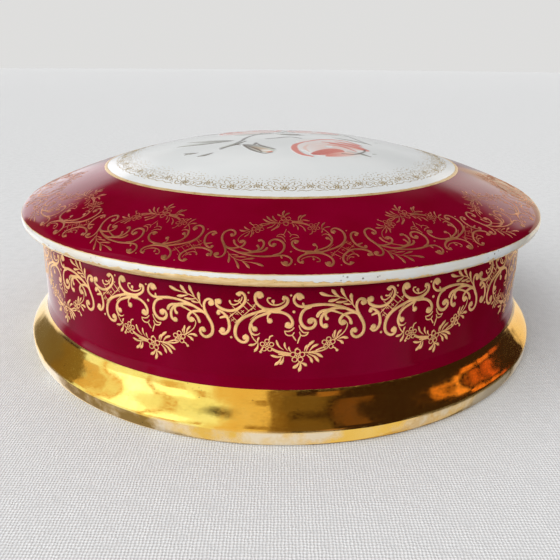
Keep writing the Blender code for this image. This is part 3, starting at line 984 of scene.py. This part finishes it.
class Canvas:
    """Soft strokes of colour laid on points of the medallion, in millimetres from its middle."""

    def __init__(self, x, y):
        self.x, self.y = x, y
        self.color = np.tile(PORCELAIN, (len(x), 1))
        self.cover = np.zeros(len(x))

    def _lay(self, amount, color):
        """Cover what is there with a colour, by an amount for each point."""
        self.color += (color - self.color) * amount[:, None]
        self.cover = np.maximum(self.cover, amount)

    def petal(self, base, tip, width, inside, edge, strength):
        """A rounded petal or leaf, one colour at its base and another towards its edge."""
        base, tip = np.array(base, float), np.array(tip, float)
        length = np.linalg.norm(tip - base)
        along = (tip - base) / length
        offset_x, offset_y = self.x - base[0], self.y - base[1]
        run = (offset_x * along[0] + offset_y * along[1]) / length
        side = (-offset_x * along[1] + offset_y * along[0]) / (width / 2)
        reach = np.sqrt(np.clip(1 - (2 * run - 1) ** 2, 0, 1)) * (0.55 + 0.45 * np.clip(run, 0, 1))
        inner = 1 - np.abs(side) / np.maximum(reach, 1e-3)
        amount = np.clip(inner * 4.0, 0, 1) * (run > 0) * (run < 1) * strength
        fade = np.clip(run * 1.15 + (1 - np.clip(inner, 0, 1)) * 0.3 - 0.1, 0, 1)[:, None]
        self._lay(amount, np.array(inside) * (1 - fade) + np.array(edge) * fade)

    def line(self, points, widths, color, strength):
        """A soft thin stroke through the points, its width running through the given values."""
        samples = smooth_line(points, 0.7)
        half = 0.5 * np.interp(np.linspace(0, 1, len(samples)), np.linspace(0, 1, len(widths)), widths)
        amount = np.zeros(len(self.x))
        for (px, py), (qx, qy), radius in zip(samples, samples[1:], half):
            reach = radius + 1.0
            near = ((self.x > min(px, qx) - reach) & (self.x < max(px, qx) + reach)
                    & (self.y > min(py, qy) - reach) & (self.y < max(py, qy) + reach))
            run_x, run_y = qx - px, qy - py
            share = np.clip(((self.x[near] - px) * run_x + (self.y[near] - py) * run_y)
                            / (run_x ** 2 + run_y ** 2), 0, 1)
            away = np.hypot(self.x[near] - px - share * run_x, self.y[near] - py - share * run_y)
            amount[near] = np.maximum(amount[near], np.clip((radius + 0.25 - away) / 0.35, 0, 1))
        self._lay(amount * strength, np.array(color))


CORAL = (0.66, 0.11, 0.06)
DEEP_CORAL = (0.50, 0.04, 0.018)
BLUSH = (0.78, 0.52, 0.45)
PALE_PINK = (0.79, 0.70, 0.67)
UMBER = (0.09, 0.055, 0.035)
GREY_GREEN = (0.14, 0.155, 0.12)
PALE_GREEN = (0.52, 0.55, 0.47)
STEM_GREY = (0.10, 0.085, 0.075)


def paint_rose(canvas, center, radius, turn, mirror=1):
    """An open rose seen a little from one side: a pale bowl with coral edges and a deep coral heart."""
    def place(across, up):
        across *= mirror
        return (center[0] + radius * (across * math.cos(turn) - up * math.sin(turn)),
                center[1] + radius * (across * math.sin(turn) + up * math.cos(turn)))

    for angle in range(12, 372, 60):
        tip = (math.cos(math.radians(angle)), math.sin(math.radians(angle)))
        canvas.petal(place(0.1 * tip[0], 0.1 * tip[1]), place(*tip), radius, BLUSH, PALE_PINK, 0.62)
    for start, tip, width, inside, edge in (
            ((-0.55, -0.85), (0.35, -0.28), 0.72, DEEP_CORAL, CORAL),
            ((-0.2, -0.95), (0.62, -0.5), 0.5, CORAL, BLUSH),
            ((0.05, 0.45), (0.95, -0.05), 0.42, CORAL, BLUSH),
            ((0.25, 0.75), (1.0, 0.45), 0.34, BLUSH, CORAL),
            ((-0.35, 0.15), (0.3, 0.25), 0.36, PALE_PINK, BLUSH)):
        canvas.petal(place(*start), place(*tip), radius * width, inside, edge, 0.88)
    for points, widths, color in (
            ([(-0.62, 0.45), (-0.9, 0.05), (-0.95, -0.42), (-0.8, -0.85), (-0.55, -1.02)],
             (0.5, 1.5, 2.1, 1.7, 0.7), CORAL),
            ([(-0.6, 0.45), (-0.1, 0.88), (0.5, 1.0), (0.92, 0.6)], (0.5, 1.2, 1.4, 0.7), CORAL),
            ([(-0.55, 0.1), (-0.68, -0.25), (-0.6, -0.6)], (0.4, 1.0, 0.5), BLUSH),
            ([(-0.1, 0.55), (0.45, 0.4), (0.95, 0.0)], (0.7, 2.0, 1.2), CORAL),
            ([(0.3, 0.72), (0.75, 0.42), (1.02, -0.02)], (0.6, 1.9, 2.4), CORAL),
            ([(0.0, 0.25), (0.4, 0.1), (0.7, -0.25)], (0.4, 1.1, 0.6), CORAL),
            ([(0.28, -0.62), (0.62, -0.58), (0.92, -0.25), (1.0, 0.05)], (0.4, 0.7, 0.5), UMBER)):
        canvas.line([place(*point) for point in points], widths, color, 0.85)


def paint_bud(canvas, base, tip, width, deep, light):
    """A closed bud with its sepals."""
    base, tip = np.array(base, float), np.array(tip, float)
    side = np.array((-(tip - base)[1], (tip - base)[0])) * 0.25
    canvas.petal(base, tip, width, deep, light, 0.85)
    canvas.petal(base + (tip - base) * 0.3, tip + side, width * 0.5, BLUSH, PALE_PINK, 0.8)
    for turn in (-1.3, -0.2, 1.1):
        canvas.petal(base - (tip - base) * 0.15, base + (tip - base) * 0.8 + side * turn * 1.7, width * 0.26,
                     GREY_GREEN, UMBER, 0.85)


def paint_leaf(canvas, base, tip, width):
    """A long leaf, darker along one edge."""
    base, tip = np.array(base, float), np.array(tip, float)
    side = np.array((-(tip - base)[1], (tip - base)[0])) / np.linalg.norm(tip - base) * width * 0.36
    canvas.petal(base, tip, width, GREY_GREEN, PALE_GREEN, 0.72)
    canvas.line([base, (base + tip) / 2 + side, tip], (0.5, 1.1, 0.3), UMBER, 0.8)


def paint_front_bud(canvas):
    """The half-open bud beside the big rose, in its brown sepals."""
    for base, tip, width, inside, edge, strength in (
            ((-12.4, -19.0), (-2.8, -29.0), 8.6, UMBER, PALE_GREEN, 0.8),
            ((-10.0, -22.0), (-3.6, -28.6), 5.0, (0.40, 0.30, 0.20), (0.66, 0.50, 0.36), 0.8),
            ((-6.8, -26.6), (-3.2, -27.6), 2.4, (0.80, 0.76, 0.72), (0.85, 0.82, 0.78), 0.9),
            ((-5.0, -29.4), (-2.6, -28.4), 1.6, (0.72, 0.34, 0.16), CORAL, 0.85)):
        canvas.petal(base, tip, width, inside, edge, strength)
    for points in ([(-12.6, -18.6), (-9.8, -25.5), (-5.6, -30.2), (-3.0, -29.4)],
                   [(-8.4, -17.4), (-6.4, -21.5), (-2.2, -25.8)],
                   [(-10.6, -21.6), (-7.4, -26.0), (-6.2, -28.6)],
                   [(-13.4, -19.6), (-15.2, -17.6)]):
        canvas.line(points, (0.3, 0.8, 0.4), UMBER, 0.85)


def paint_spray(canvas):
    """The whole spray: stems, leaves, roses and buds, on either side of the middle."""
    for points in ([(-19.6, -23.2), (-16.6, -19), (-13.5, -13), (-12, -7), (-7, 3)],
                   [(-8.4, -17.2), (-8.8, -19.5)],
                   [(-5.3, -11.1), (-2, -9.6), (2.9, -7.1), (6.5, -9.5)],
                   [(30.5, -9), (27, -2), (23, 11)],
                   [(-34, 14), (-20, 9), (-4, 2)],
                   [(-24, 28), (-12, 15), (0, 4)],
                   [(24, 24), (14, 15), (2, 4)],
                   [(6, 32), (4, 18), (0, 4)]):
        canvas.line(points, (0.7, 1.1, 0.8), STEM_GREY, 0.8)
    for base, tip, width in (
            ((-17, -12.3), (-35.5, -11.8), 4.4), ((-16.5, -11.5), (-33, -6), 3.4),
            ((-27, -25), (-31, -24), 1.6), ((-12, -14), (-20, -22), 2.6), ((8, -2.4), (-2, -0.2), 4.6),
            ((10, 3), (24, 6), 5.0), ((18, -3), (31, -9), 3.2), ((-24, 12), (-38, 18), 4.2),
            ((-20, 20), (-31, 29), 4.2), ((-10, 16), (-14, 29), 4.4), ((14, 15), (28, 13), 4.8),
            ((11, 19), (18, 32), 4.4), ((4, 21), (-2, 33), 4.0), ((-2, 1), (-17, 0), 4.4),
            ((6, 0.5), (0, -2.5), 2.6), ((21, -24), (28, -27), 2.4), ((-22, -27), (-26, -29), 1.8)):
        paint_leaf(canvas, base, tip, width)
    paint_rose(canvas, (-12, 11), 10.0, 2.6)
    paint_rose(canvas, (12, 12), 8.0, -2.2, -1)
    paint_rose(canvas, (15.4, -20.0), 12.0, 0.05)
    canvas.petal((7.0, -1.5), (-0.5, -0.8), 4.2, UMBER, GREY_GREEN, 0.9)
    paint_front_bud(canvas)
    paint_bud(canvas, (-27, 27), (-33, 34), 5.0, CORAL, BLUSH)
    paint_bud(canvas, (22, 25), (28, 32), 5.0, CORAL, BLUSH)
    for x, y in ((-31, -26), (29, -24), (33, -3), (-40, 12), (8, 35)):
        canvas.petal((x, y), (x + 1.6, y + 1.2), 1.4, STEM_GREY, PALE_GREEN, 0.7)


def make_painting():
    """The painted spray, a thin skin over the dome where there is paint."""
    pitch_mm, reach_mm, least_cover = 0.28, 42.0, 0.02
    lift, thickness = 0.02 * MM, 0.05 * MM
    steps = np.arange(-reach_mm, reach_mm, pitch_mm)
    x, y = np.meshgrid(steps, steps)
    canvas = Canvas(x.ravel(), y.ravel())
    paint_spray(canvas)
    count = len(steps)
    shown = canvas.cover.reshape(count, count) > least_cover
    height = np.array([dome_z(math.hypot(px, py) * MM) for px, py in zip(canvas.x, canvas.y)]) + lift
    points = np.stack([canvas.x * MM, canvas.y * MM, height], axis=1)
    cells = np.argwhere(shown[:-1, :-1] | shown[1:, :-1] | shown[:-1, 1:] | shown[1:, 1:])
    corners = cells[:, 0] * count + cells[:, 1]
    faces = np.stack([corners, corners + 1, corners + count + 1, corners + count], axis=1)
    used, numbered = np.unique(faces, return_inverse=True)
    mesh = bpy.data.meshes.new("painted_spray")
    mesh.from_pydata(points[used].tolist(), [], numbered.reshape(faces.shape).tolist())
    paint = mesh.color_attributes.new("paint", "FLOAT_COLOR", "POINT")
    paint.data.foreach_set("color", np.hstack([canvas.color[used], np.ones((len(used), 1))]).ravel())
    mesh.materials.append(make_enamel())
    mesh.shade_smooth()
    skin = add_piece(mesh, "lid")
    solid = skin.modifiers.new("thickness", "SOLIDIFY")
    solid.thickness = thickness
    solid.offset = -1.0


# ---------------- floor, light and camera

def make_floor():
    """A pale linen-textured table top."""
    nodes = Nodes("pale_linen", Roughness=1.0, Specular_IOR_Level=0.0)
    threads = [nodes.field("ShaderNodeTexWave", "Fac", bands_direction=direction, Scale=430.0, Distortion=3.0,
                           Detail=2.0, Detail_Scale=1.6) for direction in ("X", "Y")]
    slub = nodes.noise(240.0, 3.0, 0.6)
    relief = nodes.product(nodes.sum(*threads), slub)
    linen = nodes.ramp(relief, ((0.15, (0.676, 0.681, 0.687)), (0.85, (0.838, 0.843, 0.849))))
    nodes.set("Base Color", linen)
    nodes.bump(relief, 0.5, 0.4 * MM)
    mesh = bpy.data.meshes.new("table_top")
    build = bmesh.new()
    bmesh.ops.create_circle(build, cap_ends=True, segments=96, radius=6.0)
    build.to_mesh(mesh)
    build.free()
    mesh.materials.append(nodes.material)
    table = bpy.data.objects.new("table_top", mesh)
    table.location.z = -0.05 * MM
    table.visible_glossy = False
    bpy.context.scene.collection.objects.link(table)


# What the glaze and the gilding mirror: (azimuth, half width, elevation, half height, soft edge, colour).
# Angles are in degrees, and azimuths run from the front to the right.  A panel covers those before it.
ROOM_PANELS = (
    (0.0, 60.0, -56.0, 40.0, 3.0, (0.86, 0.83, 0.82)),     # the table in front
    (-84.0, 26.0, -38.0, 16.0, 10.0, (0.28, 0.26, 0.32)),  # the table by the window
    (78.0, 13.0, -64.0, 34.0, 10.0, (0.66, 0.55, 0.40)),   # and at the right
    (180.0, 46.0, 8.0, 7.0, 10.0, (0.22, 0.21, 0.20)),     # the dimmer wall beside the backdrop
    (158.0, 24.0, -36.0, 32.0, 9.0, (0.50, 0.47, 0.45)),   # the table behind, at the right and at the left
    (-155.0, 33.0, -36.0, 32.0, 9.0, (1.15, 1.13, 1.12)),
    (180.0, 20.0, 14.0, 17.0, 10.0, (0.36, 0.36, 0.36)),   # the backdrop, lit less in its middle
    (180.0, 16.0, 4.0, 5.0, 8.0, (0.60, 0.60, 0.60)),
    (-147.0, 9.0, 8.0, 9.0, 7.0, (1.40, 1.35, 1.37)),
    (145.0, 8.0, 8.0, 11.0, 8.0, (1.35, 1.27, 1.18)),
    (-58.0, 38.0, 17.0, 30.0, 4.0, (1.05, 1.28, 1.36)),    # the window
    (-59.0, 15.0, 22.0, 12.0, 4.0, (1.70, 2.10, 2.7)),     # its brightest pane
    (-120.0, 11.0, 5.0, 12.0, 7.0, (0.20, 0.17, 0.12)),    # the wall beyond it
    (-99.0, 7.0, 8.0, 16.0, 4.0, (0.24, 0.18, 0.08)),      # a plant and a curtain at its left
    (-88.0, 4.0, 20.0, 9.0, 2.0, (0.80, 0.62, 0.36)),
    (-79.0, 1.3, 20.0, 32.0, 1.0, (0.9, 0.66, 0.40)),      # its bars
    (-56.0, 1.5, 20.0, 32.0, 1.0, (0.8, 0.60, 0.34)),
    (-46.0, 3.4, 2.0, 12.0, 1.0, (0.85, 0.70, 0.46)),
    (-34.0, 2.4, 22.0, 9.0, 1.5, (0.75, 0.58, 0.36)),
    (-15.0, 10.0, 24.0, 40.0, 4.0, (0.88, 0.72, 0.44)),    # a lit wall by the window
    (0.0, 4.0, 26.0, 34.0, 3.0, (0.24, 0.15, 0.06)),       # furniture in front
    (-10.0, 3.0, 34.0, 6.0, 1.0, (0.40, 0.26, 0.10)),
    (12.0, 8.0, 30.0, 17.0, 5.0, (0.17, 0.11, 0.05)),
    (20.0, 3.0, 6.0, 9.0, 3.0, (0.34, 0.17, 0.07)),
    (34.0, 5.0, 40.0, 10.0, 3.0, (0.16, 0.07, 0.03)),
    (78.0, 3.0, 33.0, 3.0, 1.0, (0.80, 0.28, 0.07)),       # red flowers in lamp light at the right
    (84.0, 2.6, 25.0, 4.0, 0.8, (1.10, 0.42, 0.12)),
    (89.0, 2.4, 14.0, 4.5, 0.8, (1.00, 0.30, 0.07)),
    (94.0, 2.0, 24.0, 3.5, 0.8, (0.70, 0.15, 0.04)),
    (97.0, 2.6, 9.0, 4.0, 0.8, (0.95, 0.26, 0.07)),
    (101.0, 1.8, 19.0, 4.0, 0.8, (0.75, 0.14, 0.04)),
    (104.0, 2.2, 3.0, 4.0, 0.8, (0.60, 0.12, 0.04)),
    (141.0, 16.0, -4.0, 10.0, 2.0, (1.00, 0.84, 0.60)),    # a pale table at the right
)


def make_sky():
    """Even daylight on the surfaces, and in their reflections the room's panels over a dim ground."""
    world = bpy.data.worlds.new("pale_room")
    bpy.context.scene.world = world
    world.use_nodes = True
    tree = world.node_tree
    tree.nodes.clear()

    def add(kind, *sources, **settings):
        node = tree.nodes.new(kind)
        for name, value in settings.items():
            setattr(node, name, value)
        for socket, value in zip(node.inputs, sources):
            if isinstance(value, bpy.types.NodeSocket):
                tree.links.new(value, socket)
            elif value is not None:
                socket.default_value = value
        return node

    def math_node(operation, *values):
        return add("ShaderNodeMath", *values, operation=operation).outputs[0]

    def inside(angle, half, soft):
        """One within half of zero, falling to nothing over the soft edge."""
        return add("ShaderNodeMapRange", math_node("ABSOLUTE", angle), half + soft, half, 0.0, 1.0,
                   interpolation_type="SMOOTHSTEP").outputs[0]

    heading = add("ShaderNodeTexCoord").outputs["Generated"]
    east, north, up = add("ShaderNodeSeparateXYZ", heading).outputs
    azimuth = math_node("ARCTAN2", east, math_node("MULTIPLY", north, -1.0))
    elevation = math_node("ARCSINE", up)
    room = (0.036, 0.017, 0.013, 1.0)
    for around, half_width, level, half_height, soft, color in ROOM_PANELS:
        soft = math.radians(soft)
        turned = math_node("SUBTRACT", azimuth, math.radians(around))
        wrapped = math_node("WRAP", turned, math.pi, -math.pi)
        across = inside(wrapped, math.radians(half_width), soft)
        along = inside(math_node("SUBTRACT", elevation, math.radians(level)), math.radians(half_height), soft)
        amount = math_node("MULTIPLY", across, along)
        mix = add("ShaderNodeMix", amount, *(None,) * 5, room, (*color, 1.0), data_type="RGBA")
        room = mix.outputs[2]
    mirrored = add("ShaderNodeBackground", room, 1.0).outputs[0]
    daylight = add("ShaderNodeBackground", (0.615, 0.615, 0.615, 1.0), 1.0).outputs[0]
    plain = add("ShaderNodeBackground", (0.735, 0.731, 0.722, 1.0), 1.0).outputs[0]
    rays = add("ShaderNodeLightPath").outputs
    lit = add("ShaderNodeMixShader", rays["Is Glossy Ray"], daylight, mirrored).outputs[0]
    seen = add("ShaderNodeMixShader", rays["Is Camera Ray"], lit, plain).outputs[0]
    add("ShaderNodeOutputWorld", seen)


def add_lamp(name, around, above, energy, spread):
    """A broad soft lamp far away in a direction, in degrees.  Reflections show the room and not the lamp."""
    around, above = math.radians(around), math.radians(above)
    source = Vector((math.sin(around) * math.cos(above), -math.cos(around) * math.cos(above),
                     math.sin(above)))
    lamp = bpy.data.lights.new(name, "SUN")
    lamp.energy = energy
    lamp.angle = math.radians(spread)
    lamp.color = (1.0, 0.995, 0.985)
    holder = bpy.data.objects.new(name, lamp)
    holder.rotation_euler = source.to_track_quat("Z", "Y").to_euler()
    holder.visible_glossy = False
    bpy.context.scene.collection.objects.link(holder)


def add_camera():
    """The camera: low in front of the box, looking down on its lid, with a trace of roll."""
    down, roll, turn = math.radians(21.33), math.radians(0.45), math.radians(0.04)
    camera = bpy.data.cameras.new("front_view")
    camera.sensor_width = 36.0
    camera.lens = 36.22
    camera.clip_start = 0.01
    holder = bpy.data.objects.new("front_view", camera)
    aim = (Matrix.Rotation(turn, 4, "Z") @ Matrix.Rotation(math.pi / 2 - down, 4, "X")
           @ Matrix.Rotation(roll, 4, "Z"))
    holder.matrix_world = Matrix.Translation((0.0, -0.2070, 0.0901)) @ aim
    bpy.context.scene.collection.objects.link(holder)
    bpy.context.scene.camera = holder


def main():
    """Make every piece, then the stage."""
    porcelain = [make_crimson(), make_white(), make_bare(), make_white("rim_glaze", 0.9)]
    make_bowl(porcelain)
    make_lid(porcelain)
    make_gilding()
    make_painting()
    make_floor()
    make_sky()
    add_lamp("window_light", around=-56.0, above=38.0, energy=1.9, spread=60.0)
    add_lamp("side_light", around=-82.0, above=6.0, energy=0.6, spread=40.0)
    add_camera()
    bpy.context.scene.view_settings.view_transform = "Standard"


main()
